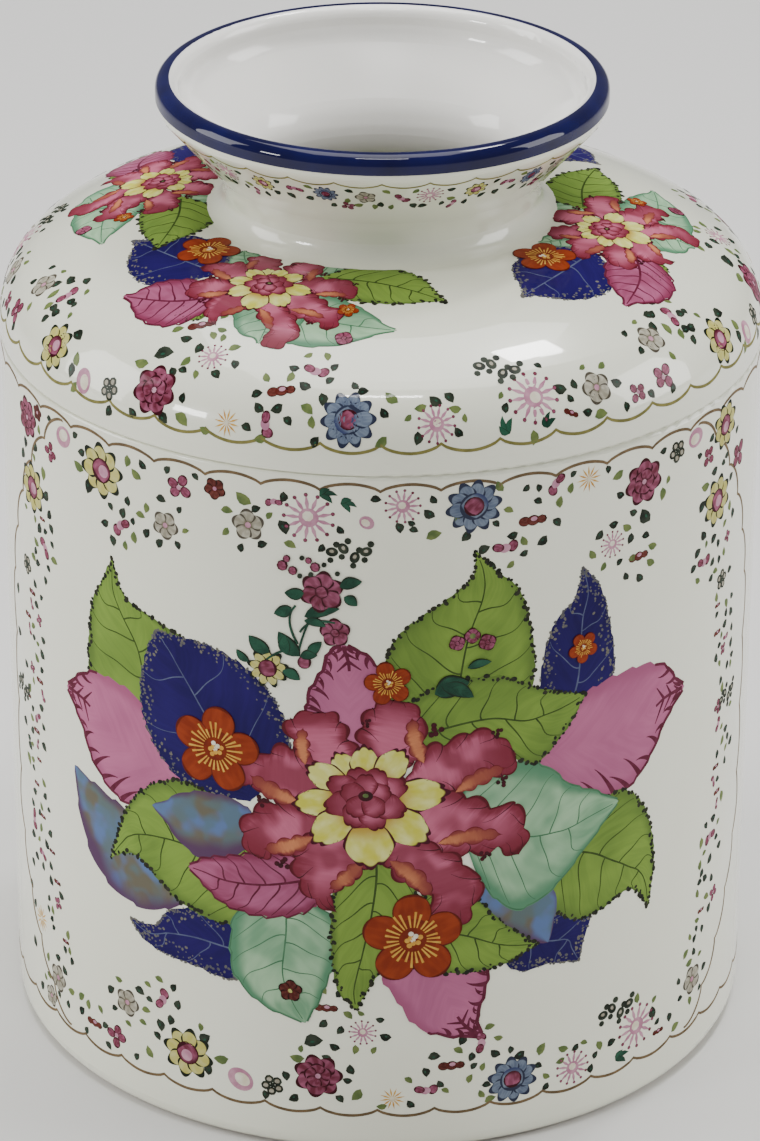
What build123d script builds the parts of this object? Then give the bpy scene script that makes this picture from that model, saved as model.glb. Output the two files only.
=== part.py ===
from build123d import *
from math import acos, atan2, cos, degrees, radians, sin, sqrt, tan
import os

# A porcelain ginger jar: a straight-sided jar body and a domed cover with an open, flared neck.
# Both pieces are turned about the Z axis. The jar stands on its foot ring at z = 0. Its wall ends
# in a flat seat with a raised collar inside it, and the cover's lower edge rests on that seat,
# around the collar, with its outside flush with the body's. All sizes are in millimetres.

# Outside
body_radius = 90.0  # of the body and of the cover's lower edge
seam_height = 176.0  # where the cover rests on the body
edge_round = 0.9  # the two edges that meet at the seam

# Body: wall, floor and foot
body_wall = 5.0
floor_thickness = 5.5
floor_round = 9.0  # inside, between the floor and the wall
base_round = 4.5  # outside, between the wall and the foot
foot_ring_width = 6.5  # the flat that the jar stands on, with its inner corner's round
foot_recess = 2.5  # depth of the base inside the ring
foot_corner_round = 0.8

# Body: seat and collar
collar_height = 6.5  # above the seam
collar_wall = 3.0
collar_clearance = 0.8  # between the collar and the inside of the cover
collar_round = 0.9  # both top edges
seat_depth = 8.0  # thick wall under the seat, down from the seam
seat_taper = 9.0  # height over which it thins out to the body wall

# Cover: the dome, a tight shoulder arc that runs on into a flat crown arc
cover_wall = 4.2
skirt_height = 3.6  # straight part above the seam
shoulder_arc = 18.0
crown_arc = 75.0
shoulder_turn = 60.0  # degrees above the horizontal where the two arcs meet
cover_edge_round = 0.6  # lower inside edge, clear of the collar

# Cover: the neck, a short throat, a flare and an upright rim with a round lip
neck_wall = 3.4
throat_radius = 36.8
throat_fillet = 4.5  # outside, between the dome and the throat
throat_top = 37.1  # above the seam, where the throat turns into the flare
flare_height = 18.0  # from there to where the flare turns into the rim
rim_radius = 52.6
rim_wall = 5.2
rim_height = 5.9  # from the flare to the top of the lip
throat_bend = 9.0  # radius of the outside where the throat turns into the flare
rim_bend = 4.5  # radius of the outside where the flare turns into the rim
inner_rim_bend = 6.0  # the same corner on the inside
lip_round = 2.5


def turned(line):
    """Turn a closed outline, drawn in the XZ plane, about the Z axis."""
    return revolve(make_face(line.line), Axis.Z)


def rounded(shape, height, radius, size):
    """Round the edges at one height whose circles have the given radius."""
    circles = shape.edges().filter_by(GeomType.CIRCLE)
    level = circles.filter_by_position(Axis.Z, height - 0.01, height + 0.01)
    return fillet([edge for edge in level if abs(edge.radius - radius) < 0.01], size)


def make_body():
    """The jar itself, one piece of porcelain: wall, floor, foot, seat and collar."""
    foot_inside = body_radius - base_round - foot_ring_width
    inside = body_radius - body_wall
    ledge = body_radius - cover_wall - collar_clearance
    mouth = ledge - collar_wall
    floor = foot_recess + floor_thickness
    top = seam_height + collar_height
    with BuildLine(Plane.XZ) as line:
        Polyline(
            (0, foot_recess),
            (foot_inside, foot_recess),
            (foot_inside, 0),
            (body_radius, 0),
            (body_radius, seam_height),
            (ledge, seam_height),
            (ledge, top),
            (mouth, top),
            (mouth, seam_height - seat_depth),
            (inside, seam_height - seat_depth - seat_taper),
            (inside, floor),
            (0, floor),
            close=True,
        )
    body = turned(line)
    body = rounded(body, 0, body_radius, base_round)
    body = rounded(body, 0, foot_inside, foot_corner_round)
    body = rounded(body, foot_recess, foot_inside, foot_corner_round)
    body = rounded(body, floor, inside, floor_round)
    body = rounded(body, seam_height, body_radius, edge_round)
    body = rounded(body, top, ledge, collar_round)
    return rounded(body, top, mouth, collar_round)


def dome_height(radius, inset):
    """Height of the crown arc, moved inwards by inset, at a distance from the axis."""
    centre = crown_centre()
    return centre[1] + sqrt((crown_arc - inset) ** 2 - (radius - centre[0]) ** 2)


def crown_centre():
    """Centre of the crown arc, which meets the shoulder arc without a corner."""
    reach = crown_arc - shoulder_arc
    across = body_radius - shoulder_arc - reach * cos(radians(shoulder_turn))
    up = seam_height + skirt_height - reach * sin(radians(shoulder_turn))
    return across, up


def dome(inset, throat):
    """The dome filled to the axis, with its surface moved inwards by inset, up to the throat."""
    side = body_radius - inset
    shoulder = (body_radius - shoulder_arc, seam_height + skirt_height)
    crown = crown_centre()
    top_turn = degrees(acos((throat - crown[0]) / (crown_arc - inset)))
    top = dome_height(throat, inset)
    with BuildLine(Plane.XZ) as line:
        Polyline((0, top), (0, seam_height), (side, seam_height), (side, shoulder[1]))
        CenterArc(shoulder, shoulder_arc - inset, 0, shoulder_turn)
        CenterArc(crown, crown_arc - inset, shoulder_turn, top_turn - shoulder_turn)
        Line((throat, top), (0, top))
    return turned(line)


def neck(inset, rim_inset, bend, top_bend):
    """The neck filled to the axis, with its throat and flare moved inwards."""
    throat = throat_radius - inset
    rim = rim_radius - rim_inset
    run = rim_radius - throat_radius
    lean = atan2(run, flare_height)
    start = seam_height + throat_top + inset * tan(lean / 2)
    end = start + (rim - throat) * flare_height / run
    top = seam_height + throat_top + flare_height + rim_height
    with BuildLine(Plane.XZ) as line:
        FilletPolyline(
            (throat, seam_height),
            (throat, start),
            (rim, end),
            (rim, top),
            radius=[bend, top_bend],
        )
        Polyline((rim, top), (0, top), (0, seam_height), (throat, seam_height))
    return turned(line)


def make_cover():
    """The domed cover with its open neck, one piece of porcelain."""
    top = seam_height + throat_top + flare_height + rim_height
    outside = dome(0, throat_radius) + neck(0, 0, throat_bend, rim_bend)
    outside = rounded(outside, dome_height(throat_radius, 0), throat_radius, throat_fillet)
    outside = rounded(outside, seam_height, body_radius, edge_round)
    throat = throat_radius - neck_wall
    inside = dome(cover_wall, throat)
    inside += neck(neck_wall, rim_wall, throat_bend + neck_wall, inner_rim_bend)
    inside = rounded(inside, dome_height(throat, cover_wall), throat, throat_fillet + cover_wall)
    cover = outside - inside
    cover = rounded(cover, seam_height, body_radius - cover_wall, cover_edge_round)
    cover = rounded(cover, top, rim_radius, lip_round)
    return rounded(cover, top, rim_radius - rim_wall, lip_round)


os.makedirs("parts", exist_ok=True)
export_step(make_body(), "parts/jar_body.step")
export_step(make_cover(), "parts/dome_cover.step")
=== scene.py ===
from contextlib import contextmanager
from math import atan2, ceil, cos, hypot, log, pi, radians, sin
from random import Random

import bmesh
import bpy
from mathutils import Matrix, Vector


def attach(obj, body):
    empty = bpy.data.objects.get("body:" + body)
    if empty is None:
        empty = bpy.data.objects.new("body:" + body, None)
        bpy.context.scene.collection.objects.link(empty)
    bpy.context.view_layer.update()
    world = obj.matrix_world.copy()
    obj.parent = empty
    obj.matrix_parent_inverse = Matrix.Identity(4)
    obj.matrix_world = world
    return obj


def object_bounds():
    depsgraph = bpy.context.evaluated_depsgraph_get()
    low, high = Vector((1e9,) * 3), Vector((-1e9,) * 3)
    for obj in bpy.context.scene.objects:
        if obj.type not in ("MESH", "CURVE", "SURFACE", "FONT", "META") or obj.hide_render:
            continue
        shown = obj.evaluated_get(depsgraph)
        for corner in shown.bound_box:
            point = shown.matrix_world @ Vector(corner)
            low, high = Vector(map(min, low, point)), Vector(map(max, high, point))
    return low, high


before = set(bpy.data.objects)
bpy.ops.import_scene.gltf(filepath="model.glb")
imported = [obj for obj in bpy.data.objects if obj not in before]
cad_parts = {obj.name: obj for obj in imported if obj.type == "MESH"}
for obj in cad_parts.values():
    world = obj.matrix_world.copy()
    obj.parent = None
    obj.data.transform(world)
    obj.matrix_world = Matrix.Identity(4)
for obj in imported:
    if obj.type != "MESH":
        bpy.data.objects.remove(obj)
cad_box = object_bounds()

MM = 0.001

# The jar's own sizes, in millimetres
BODY_RADIUS = 90.0
SEAM_HEIGHT = 176.0
SKIRT_HEIGHT = 3.6
SHOULDER_ARC = 18.0
CROWN_ARC = 75.0
SHOULDER_TURN = radians(60)
DOME_REACH = 105.0  # from the axis to the seam, measured along the dome
THROAT_RADIUS = 36.8
FLARE_FOOT = SEAM_HEIGHT + 37.1
FLARE_HEIGHT = 18.0
RIM_RADIUS = 52.6
LIP_ROUND = 2.5
TOP = cad_box[1][2] / MM


# ---------------------------------------------------------------- surfaces


def on_body(x, y, rise):
    """Wrap a flat design around the body. x runs round from the front and y is the height."""
    turn = x / BODY_RADIUS
    reach = (BODY_RADIUS + rise) * MM
    return Vector((reach * sin(turn), -reach * cos(turn), y * MM))


def dome_section(along):
    """Radius, height and outward lean of the dome's outside, at a distance up from the seam."""
    centre = (BODY_RADIUS - SHOULDER_ARC, SEAM_HEIGHT + SKIRT_HEIGHT)
    if along < SKIRT_HEIGHT:
        return BODY_RADIUS, SEAM_HEIGHT + along, 0.0
    turn = (along - SKIRT_HEIGHT) / SHOULDER_ARC
    if turn < SHOULDER_TURN:
        return centre[0] + SHOULDER_ARC * cos(turn), centre[1] + SHOULDER_ARC * sin(turn), turn
    reach = CROWN_ARC - SHOULDER_ARC
    turn = SHOULDER_TURN + (along - SKIRT_HEIGHT - SHOULDER_ARC * SHOULDER_TURN) / CROWN_ARC
    across = centre[0] - reach * cos(SHOULDER_TURN) + CROWN_ARC * cos(turn)
    return across, centre[1] - reach * sin(SHOULDER_TURN) + CROWN_ARC * sin(turn), turn


def on_dome(x, y, rise):
    """Lay a flat round design over the dome. The axis is at its middle and the front at -y."""
    radius, height, lean = dome_section(DOME_REACH - hypot(x, y))
    turn = atan2(x, -y)
    reach = (radius + rise * cos(lean)) * MM
    return Vector((reach * sin(turn), -reach * cos(turn), (height + rise * sin(lean)) * MM))


def on_neck(x, y, rise):
    """Wrap a flat design around the neck's flare. y is measured down from the flare's top."""
    run = RIM_RADIUS - THROAT_RADIUS
    slope = hypot(run, FLARE_HEIGHT)
    radius = RIM_RADIUS + y * run / slope + rise * FLARE_HEIGHT / slope
    height = FLARE_FOOT + FLARE_HEIGHT + y * FLARE_HEIGHT / slope - rise * run / slope
    turn = x / RIM_RADIUS
    return Vector((radius * sin(turn), -radius * cos(turn), height)) * MM


# ---------------------------------------------------------------- finishes


class Paint:
    """A finish: a glossy shader and short calls for the nodes that the finishes share."""

    def __init__(self, name, roughness=0.4, coat=0.2, specular=0.0):
        self.material = bpy.data.materials.new(name)
        self.material.use_nodes = True
        self.tree = self.material.node_tree
        self.shader = self.tree.nodes["Principled BSDF"]
        self.shader.inputs["Roughness"].default_value = roughness
        self.shader.inputs["Coat Weight"].default_value = coat
        self.shader.inputs["Coat Roughness"].default_value = 0.03
        self.shader.inputs["Specular IOR Level"].default_value = specular
        places = self.tree.nodes.new("ShaderNodeTexCoord")
        self.place = places.outputs["Object"]
        split = self.tree.nodes.new("ShaderNodeSeparateXYZ")
        self.tree.links.new(places.outputs["UV"], split.inputs[0])
        self.along = split.outputs[0]
        self.across = split.outputs[1]

    def feed(self, socket, value):
        if isinstance(value, bpy.types.NodeSocket):
            self.tree.links.new(value, socket)
        else:
            socket.default_value = value

    def math(self, operation, first, second=0.0, clamp=False):
        node = self.tree.nodes.new("ShaderNodeMath")
        node.operation = operation
        node.use_clamp = clamp
        self.feed(node.inputs[0], first)
        self.feed(node.inputs[1], second)
        return node.outputs[0]

    def fade(self, value, low, high, start=0.0, end=1.0):
        node = self.tree.nodes.new("ShaderNodeMapRange")
        node.interpolation_type = "SMOOTHSTEP"
        names = ("Value", "From Min", "From Max", "To Min", "To Max")
        for name, amount in zip(names, (value, low, high, start, end)):
            self.feed(node.inputs[name], amount)
        return node.outputs[0]

    def noise(self, scale, detail=2.0, vector=None):
        node = self.tree.nodes.new("ShaderNodeTexNoise")
        self.feed(node.inputs["Vector"], self.place if vector is None else vector)
        node.inputs["Scale"].default_value = scale
        node.inputs["Detail"].default_value = detail
        return node.outputs["Fac"]

    def vector(self, x, y, z=0.0):
        node = self.tree.nodes.new("ShaderNodeCombineXYZ")
        for socket, value in zip(node.inputs, (x, y, z)):
            self.feed(socket, value)
        return node.outputs[0]

    def mix(self, factor, first, second):
        node = self.tree.nodes.new("ShaderNodeMix")
        node.data_type = "RGBA"
        self.feed(node.inputs[0], factor)
        for socket, value in zip(node.inputs[6:8], (first, second)):
            self.feed(socket, value if isinstance(value, bpy.types.NodeSocket) else (*value, 1.0))
        return node.outputs[2]

    def wavy(self, value, scale, amount):
        """The value, shifted about by a noise so that painted lines aren't ruled."""
        shift = self.math("MULTIPLY", self.math("SUBTRACT", self.noise(scale), 0.5), amount)
        return self.math("ADD", value, shift)

    def from_middle(self):
        """0 on a leaf's midrib and 1 at its two edges."""
        offset = self.math("ABSOLUTE", self.math("SUBTRACT", self.across, 0.5))
        return self.math("MULTIPLY", offset, 2.0)

    def stretched(self, along, by, across):
        """Coordinates for a noise in streaks: a way along, times by, and the way across."""
        across = self.math("MULTIPLY", self.across, across)
        return self.vector(self.math("MULTIPLY", along, by), across)

    def colour(self, socket):
        self.feed(self.shader.inputs["Base Color"], socket)
        return self.material


def leaf_paint(name, light, deep, rim, rim_start=0.75, patches=70.0, streaks=26.0):
    """A leaf: light and deep washes in brush streaks across it, and a darker rim."""
    paint = Paint(name)
    middle = paint.wavy(paint.from_middle(), 160.0, 0.2)
    slant = paint.math("SUBTRACT", paint.along, paint.math("MULTIPLY", middle, 0.3))
    grain = paint.stretched(slant, streaks, 2.5)
    wash = paint.fade(paint.noise(patches, 2.0), 0.36, 0.64)
    brushed = paint.fade(paint.noise(1.0, 2.0, grain), 0.35, 0.65)
    wash = paint.math("MULTIPLY", wash, 0.65)
    tone = paint.math("ADD", wash, paint.math("MULTIPLY", brushed, 0.35))
    colour = paint.mix(tone, deep, light)
    return paint.colour(paint.mix(paint.fade(middle, rim_start, rim_start + 0.25), colour, rim))


def mottled_paint(name, blue, brown, violet):
    """Washes of blue and brown run together, with violet shadows at the rim."""
    paint = Paint(name)
    middle = paint.wavy(paint.from_middle(), 120.0, 0.7)
    wash = paint.fade(paint.noise(85.0, 2.0), 0.40, 0.54)
    dabs = paint.fade(paint.noise(210.0, 1.0), 0.42, 0.62, 0.0, 0.7)
    colour = paint.mix(wash, blue, brown)
    colour = paint.mix(dabs, colour, (0.085, 0.135, 0.15))
    lower = paint.wavy(paint.across, 60.0, 0.5)
    colour = paint.mix(paint.fade(lower, 0.62, 0.95), colour, violet)
    return paint.colour(paint.mix(paint.fade(middle, 0.70, 1.10), colour, violet))


def petal_paint(name, heart, body, tip, line, streaks=9.0, border=0.9, depth=0.3):
    """A petal: a darker heart, soft streaks towards its outer edge, and a fine outline."""
    paint = Paint(name)
    middle = paint.from_middle()
    outside = paint.wavy(paint.math("MAXIMUM", middle, paint.along), 300.0, 0.08)
    grain = paint.stretched(paint.along, 1.6, streaks)
    soft = paint.fade(paint.noise(1.0, 2.0, grain), 0.38, 0.62)
    patches = paint.fade(paint.noise(210.0, 2.0), 0.35, 0.65)
    tone = paint.math("MULTIPLY", paint.math("ADD", soft, patches), 0.5)
    colour = paint.mix(tone, body, tip)
    colour = paint.mix(paint.fade(paint.along, 0.02, depth, 1.0, 0.0), colour, heart)
    return paint.colour(paint.mix(paint.fade(outside, border, border + 0.05), colour, line))


def ruffled_paint(name, deep, light, line):
    """The peony's petals: deep crimson hairs drawn in from the edges over soft pink swells."""
    paint = Paint(name)
    middle = paint.from_middle()
    outside = paint.wavy(paint.math("MAXIMUM", middle, paint.along), 260.0, 0.10)
    grain = paint.stretched(paint.along, 34.0, 2.0)
    hairs = paint.fade(paint.noise(1.0, 3.0, grain), 0.40, 0.56)
    swell = paint.fade(paint.noise(120.0, 1.0), 0.38, 0.58)
    inside = paint.fade(outside, 0.50, 0.92, 1.0, 0.0)
    swell = paint.math("ADD", 0.25, paint.math("MULTIPLY", swell, 0.75))
    lit = paint.math("MULTIPLY", inside, swell)
    colour = paint.mix(lit, deep, light)
    shade = paint.math("MULTIPLY", paint.fade(middle, 0.25, 0.9, 0.08, 0.8), hairs)
    colour = paint.mix(shade, colour, deep)
    return paint.colour(paint.mix(paint.fade(outside, 0.89, 0.95), colour, line))


def plain_enamel(name, light, deep, scale=400.0, coat=0.2):
    """A single enamel, thicker and darker in places."""
    paint = Paint(name, coat=coat)
    return paint.colour(paint.mix(paint.fade(paint.noise(scale, 2.0), 0.3, 0.7), light, deep))


def painted_light_in_neck(paint):
    """1 on the inside of the neck, where the glaze is painted lighter as painted light, and 0
    elsewhere.
    """
    split = paint.tree.nodes.new("ShaderNodeSeparateXYZ")
    paint.feed(split.inputs[0], paint.place)
    x, y, z = split.outputs
    squares = paint.math("ADD", paint.math("MULTIPLY", x, x), paint.math("MULTIPLY", y, y))
    up = paint.math("MAXIMUM", paint.math("SUBTRACT", z, FLARE_FOOT * MM), 0.0)
    lean = (RIM_RADIUS - THROAT_RADIUS) / FLARE_HEIGHT
    radius = paint.math("SUBTRACT", paint.math("SQRT", squares), paint.math("MULTIPLY", up, lean))
    return paint.fade(radius, (THROAT_RADIUS - 3.0) * MM, (THROAT_RADIUS - 1.5) * MM, 1.0, 0.0)


def porcelain(name, bare_foot):
    """Clear glaze over white porcelain, faintly uneven, and bare clay on the foot ring; on the cover
    the inside of the neck is painted a lighter, cooler white as painted light.
    """
    paint = Paint(name, roughness=0.25, coat=0.85, specular=0.3)
    tone = paint.fade(paint.noise(22.0, 3.0), 0.3, 0.7)
    colour = paint.mix(tone, (0.79, 0.80, 0.665), (0.77, 0.775, 0.635))
    if bare_foot:
        split = paint.tree.nodes.new("ShaderNodeSeparateXYZ")
        paint.feed(split.inputs[0], paint.place)
        bare = paint.fade(paint.wavy(split.outputs[2], 150.0, 0.0006), 0.0006, 0.0012, 1.0, 0.0)
        clay = paint.mix(paint.noise(1500.0), (0.62, 0.56, 0.47), (0.50, 0.43, 0.34))
        colour = paint.mix(bare, colour, clay)
        paint.feed(paint.shader.inputs["Roughness"], paint.fade(bare, 0.0, 1.0, 0.22, 0.85))
    else:
        # painted light: the same glaze inside the neck is given a lighter, cooler white than outside,
        # standing in for the light it gets there
        colour = paint.mix(painted_light_in_neck(paint), colour, (0.90, 0.885, 0.84))
    bump = paint.tree.nodes.new("ShaderNodeBump")
    bump.inputs["Strength"].default_value = 0.05
    bump.inputs["Distance"].default_value = 0.0004
    paint.feed(bump.inputs["Height"], paint.noise(140.0, 2.0))
    paint.feed(paint.shader.inputs["Normal"], bump.outputs[0])
    return paint.colour(colour)


DARK = (0.012, 0.016, 0.010)
WINE = (0.055, 0.006, 0.014)
PAINTS = {
    "green": leaf_paint(
        "lime leaf", (0.180, 0.290, 0.048), (0.115, 0.195, 0.034), (0.095, 0.160, 0.03), 0.74
    ),
    "green_line": plain_enamel("green leaf vein", (0.045, 0.075, 0.016), (0.030, 0.050, 0.012)),
    "green_dot": plain_enamel("black edge dots", (0.010, 0.012, 0.008), (0.030, 0.030, 0.018)),
    "blue": leaf_paint(
        "cobalt leaf", (0.016, 0.008, 0.100), (0.010, 0.005, 0.062), (0.010, 0.006, 0.060), 0.8,
        40.0,
    ),
    "blue_line": plain_enamel("pale blue vein", (0.10, 0.12, 0.20), (0.06, 0.07, 0.14)),
    "blue_dot": plain_enamel("gilt speckle", (0.15, 0.14, 0.11), (0.08, 0.08, 0.09)),
    "mottled": mottled_paint(
        "mottled leaf", (0.092, 0.145, 0.29), (0.115, 0.105, 0.075), (0.080, 0.038, 0.085)
    ),
    "pink": leaf_paint(
        "pink leaf", (0.44, 0.132, 0.245), (0.35, 0.100, 0.195), (0.31, 0.082, 0.165), 0.7, 60.0
    ),
    "rose": leaf_paint(
        "veined rose leaf", (0.36, 0.098, 0.190), (0.24, 0.050, 0.105), (0.19, 0.03, 0.07), 0.65,
        120.0, 14.0,
    ),
    "pink_line": plain_enamel("crimson vein", (0.085, 0.010, 0.024), (0.12, 0.018, 0.042)),
    "celadon": leaf_paint(
        "celadon leaf", (0.31, 0.48, 0.30), (0.14, 0.29, 0.165), (0.08, 0.21, 0.115), 0.68, 80.0,
        9.0,
    ),
    "celadon_line": plain_enamel("celadon vein", (0.045, 0.13, 0.065), (0.07, 0.17, 0.09)),
    "peony": ruffled_paint(
        "crimson petal", (0.170, 0.020, 0.036), (0.48, 0.125, 0.205), (0.085, 0.008, 0.014)
    ),
    "fold": ruffled_paint(
        "orange fold", (0.20, 0.036, 0.034), (0.52, 0.19, 0.085), (0.13, 0.014, 0.018)
    ),
    "wine": plain_enamel("dark wine curl", (0.060, 0.007, 0.014), (0.030, 0.008, 0.010)),
    "cream": petal_paint(
        "yellow petal", (0.42, 0.28, 0.05), (0.52, 0.50, 0.060), (0.66, 0.66, 0.26), WINE, 3.0,
        0.88, 0.45,
    ),
    "orange": petal_paint(
        "orange petal", (0.24, 0.036, 0.008), (0.185, 0.022, 0.006), (0.26, 0.038, 0.010),
        (0.09, 0.010, 0.004), 5.0, 0.91,
    ),
    "orange_heart": plain_enamel("orange heart", (0.19, 0.024, 0.006), (0.13, 0.015, 0.005)),
    "straw": petal_paint(
        "straw petal", (0.20, 0.09, 0.03), (0.44, 0.40, 0.10), (0.50, 0.48, 0.20), DARK, 3.0, 0.80
    ),
    "sky": petal_paint(
        "pale blue petal", (0.04, 0.05, 0.12), (0.085, 0.11, 0.17), (0.17, 0.21, 0.27),
        (0.025, 0.03, 0.055), 6.0, 0.80,
    ),
    "grey": petal_paint(
        "grey petal", (0.13, 0.11, 0.07), (0.25, 0.23, 0.17), (0.44, 0.42, 0.34),
        (0.07, 0.06, 0.045), 4.0, 0.78,
    ),
    "ruby": petal_paint(
        "ruby petal", (0.055, 0.009, 0.014), (0.12, 0.020, 0.036), (0.30, 0.085, 0.15),
        (0.040, 0.006, 0.010), 4.0, 0.82,
    ),
    "brown": petal_paint(
        "brown petal", (0.09, 0.014, 0.010), (0.055, 0.010, 0.008), (0.15, 0.04, 0.03),
        (0.015, 0.006, 0.005), 4.0, 0.84,
    ),
    "teal": leaf_paint(
        "teal leaf", (0.025, 0.095, 0.055), (0.010, 0.035, 0.022), DARK, 0.72, 200.0
    ),
    "dark": plain_enamel("dark green stroke", (0.012, 0.016, 0.011), (0.035, 0.045, 0.030)),
    "moss": plain_enamel("moss leaf", (0.15, 0.19, 0.06), (0.08, 0.12, 0.04)),
    "shell": plain_enamel("shell pink", (0.50, 0.27, 0.34), (0.38, 0.16, 0.24)),
    "white": plain_enamel("white enamel", (0.72, 0.69, 0.58), (0.62, 0.56, 0.42)),
    "gold": plain_enamel("amber ray", (0.60, 0.36, 0.06), (0.50, 0.24, 0.04)),
    "umber": plain_enamel("umber line", (0.17, 0.115, 0.06), (0.11, 0.075, 0.04)),
    "olive": plain_enamel("olive line", (0.21, 0.19, 0.06), (0.14, 0.13, 0.04)),
    "lip_blue": plain_enamel(
        "cobalt rim", (0.004, 0.0045, 0.058), (0.003, 0.003, 0.036), 90.0, 0.7
    ),
}


# ---------------------------------------------------------------- drawing

LAYER = 0.003  # each stroke lies this much above the one before it
CELL = 1.0  # the longest face that still follows the jar's curve closely
FIRST_RISE = 0.02
UNDERSIDE = -0.03  # where every stroke ends, just inside the glaze
SLAB = 1.0  # how deep strokes are made at first, more than any of them rises
MERGE = 1e-4  # corners of a stroke nearer than this are one
FEWEST = 6  # faces along a stroke that isn't made coarser
SHARP = 0.6  # the fold, in radians, past which an edge isn't shaded smooth
BRUSH = Random(11)


def cells(length):
    """How many faces a stroke needs along a length to follow the jar's curve."""
    return max(2, ceil(length / CELL))


def run_of(curve, parts=8):
    """The length of a curve that is a function of the way along it, 0 to 1."""
    points = [Vector(curve(step / parts)) for step in range(parts + 1)]
    return sum((end - start).length for start, end in zip(points, points[1:]))


class Design:
    """A flat painted design in millimetres. Strokes go down in painting order, each a little
    above the last, and each paint's strokes are kept in the mesh of its own group."""

    def __init__(self, groups, first_rise=FIRST_RISE):
        self.groups = groups
        self.meshes = {}
        self.paints = {name: [] for name in groups}
        self.rise = first_rise
        self.ground = first_rise
        self.step = LAYER
        self.size = 1.0
        self.place = Matrix.Identity(3)

    def group_of(self, paint):
        return next(name for name, paints in self.groups.items() if paint in paints)

    def mesh_for(self, paint):
        group = self.group_of(paint)
        if group not in self.meshes:
            self.meshes[group] = bmesh.new()
            self.meshes[group].loops.layers.uv.new("UVMap")
        used = self.paints[group]
        if paint not in used:
            used.append(paint)
        return self.meshes[group], used.index(paint)

    def move_to(self, x=0.0, y=0.0, turn=0.0, size=1.0):
        """Strokes that follow are drawn about this point, on what was painted up to settle()."""
        self.rise = self.ground
        self.size = size
        right, up = size * cos(turn), size * sin(turn)
        self.place = Matrix(((right, -up, x), (up, right, y), (0, 0, 1)))

    def settle(self):
        """Everything so far is dry, and later strokes go on top of it."""
        self.ground = self.rise

    @contextmanager
    def together(self):
        """Strokes made inside lie at one height."""
        self.rise += LAYER
        self.step = 0.0
        yield
        self.step = LAYER

    def put(self, verts, index, bend):
        """Bend new flat verts into place at the next rise, with their faces up."""
        self.rise += self.step
        for vert in verts:
            point = self.place @ Vector((*bend(vert.co.x, vert.co.y), 1.0))
            vert.co = (point.x, point.y, self.rise)
        faces = {face for vert in verts for face in vert.link_faces}
        for face in faces:
            face.material_index = index
            face.normal_update()
        if sum(face.normal.z * face.calc_area() for face in faces) < 0:
            for face in faces:
                face.normal_flip()

    def fewer(self, count):
        """A count of faces for a stroke, less for a part of the design that is drawn small."""
        return count if count <= FEWEST else max(FEWEST, round(count * min(1.0, self.size)))

    def sheet(self, paint, along, across, bend):
        """A grid, bent by a function of the way along it, 0 to 1, and across it, -1 to 1."""
        mesh, index = self.mesh_for(paint)
        along, across = self.fewer(along), self.fewer(across)
        made = bmesh.ops.create_grid(
            mesh, x_segments=along, y_segments=across, size=0.5, calc_uvs=True
        )
        self.put(made["verts"], index, lambda x, y: bend(min(max(x + 0.5, 0.0), 1.0), y * 2))

    def dot(self, paint, x, y, radius, squash=1.0, turn=0.0):
        """A round or oval touch of the brush."""
        count = 2 * max(1, ceil(radius / CELL / 1.3))

        def bend(along, side):
            along = along * 2 - 1
            across = radius * along * (1 - side * side / 2) ** 0.5
            up = radius * squash * side * (1 - along * along / 2) ** 0.5
            return x + across * cos(turn) - up * sin(turn), y + across * sin(turn) + up * cos(turn)

        self.sheet(paint, count, count, bend)

    def line(self, paint, curve, width, taper=0.0, scallops=0, bulge=0.0, steps=0):
        """A brush line along a curve, thinner towards its end, or in scallops to its left."""

        def place(along, side):
            point = curve(along)
            heading = curve(min(along + 0.001, 1.0)) - curve(max(along - 0.001, 0.0))
            normal = Vector((-heading.y, heading.x)).normalized()
            out = bulge * abs(sin(pi * scallops * along)) ** 0.7
            return point + normal * (out + side * width * (1 - taper * along) / 2)

        self.sheet(paint, steps or cells(run_of(curve)), 1, place)


def make_piece(name, mesh, materials, body):
    """A finished mesh as a named piece that rides on a body of the jar."""
    for edge in mesh.edges:
        edge.smooth = edge.calc_face_angle(0.0) < SHARP
    for face in mesh.faces:
        face.smooth = True
    data = bpy.data.meshes.new(name)
    mesh.to_mesh(data)
    mesh.free()
    for paint in materials:
        data.materials.append(PAINTS[paint])
    piece = bpy.data.objects.new(name, data)
    bpy.context.scene.collection.objects.link(piece)
    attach(piece, body)
    return piece


def thicken(drawn):
    """A flat design's mesh with every stroke made a closed slab that goes down from its face."""
    mesh = drawn.copy()
    bmesh.ops.remove_doubles(mesh, verts=mesh.verts, dist=MERGE)
    bmesh.ops.solidify(mesh, geom=mesh.faces[:], thickness=SLAB)
    for vert in mesh.verts:
        if not 0 < vert.co.z < SLAB - 0.1:
            vert.co.z = UNDERSIDE
    return mesh


def lay_on(design, name, surfaces, body):
    """Lay a flat design on the jar in one or more places, as one piece for each group."""
    for group, drawn in design.meshes.items():
        slabs = thicken(drawn)
        whole = bmesh.new()
        for surface in surfaces:
            mesh = slabs.copy()
            for vert in mesh.verts:
                vert.co = surface(*vert.co)
            copied = bpy.data.meshes.new("copied")
            mesh.to_mesh(copied)
            whole.from_mesh(copied)
            mesh.free()
            bpy.data.meshes.remove(copied)
        slabs.free()
        make_piece(f"{name}_{group}", whole, design.paints[group], body)


def shifted(surface, shift):
    """The same surface, with the design moved round it."""
    return lambda x, y, rise: surface(x + shift, y, rise)


def turned(surface, angle, reach=0.0):
    """The same surface, with the design moved out from the axis and turned about it."""
    right, up = cos(angle), sin(angle)

    def place(x, y, rise):
        y -= reach
        return surface(x * right - y * up, x * up + y * right, rise)

    return place


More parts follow.
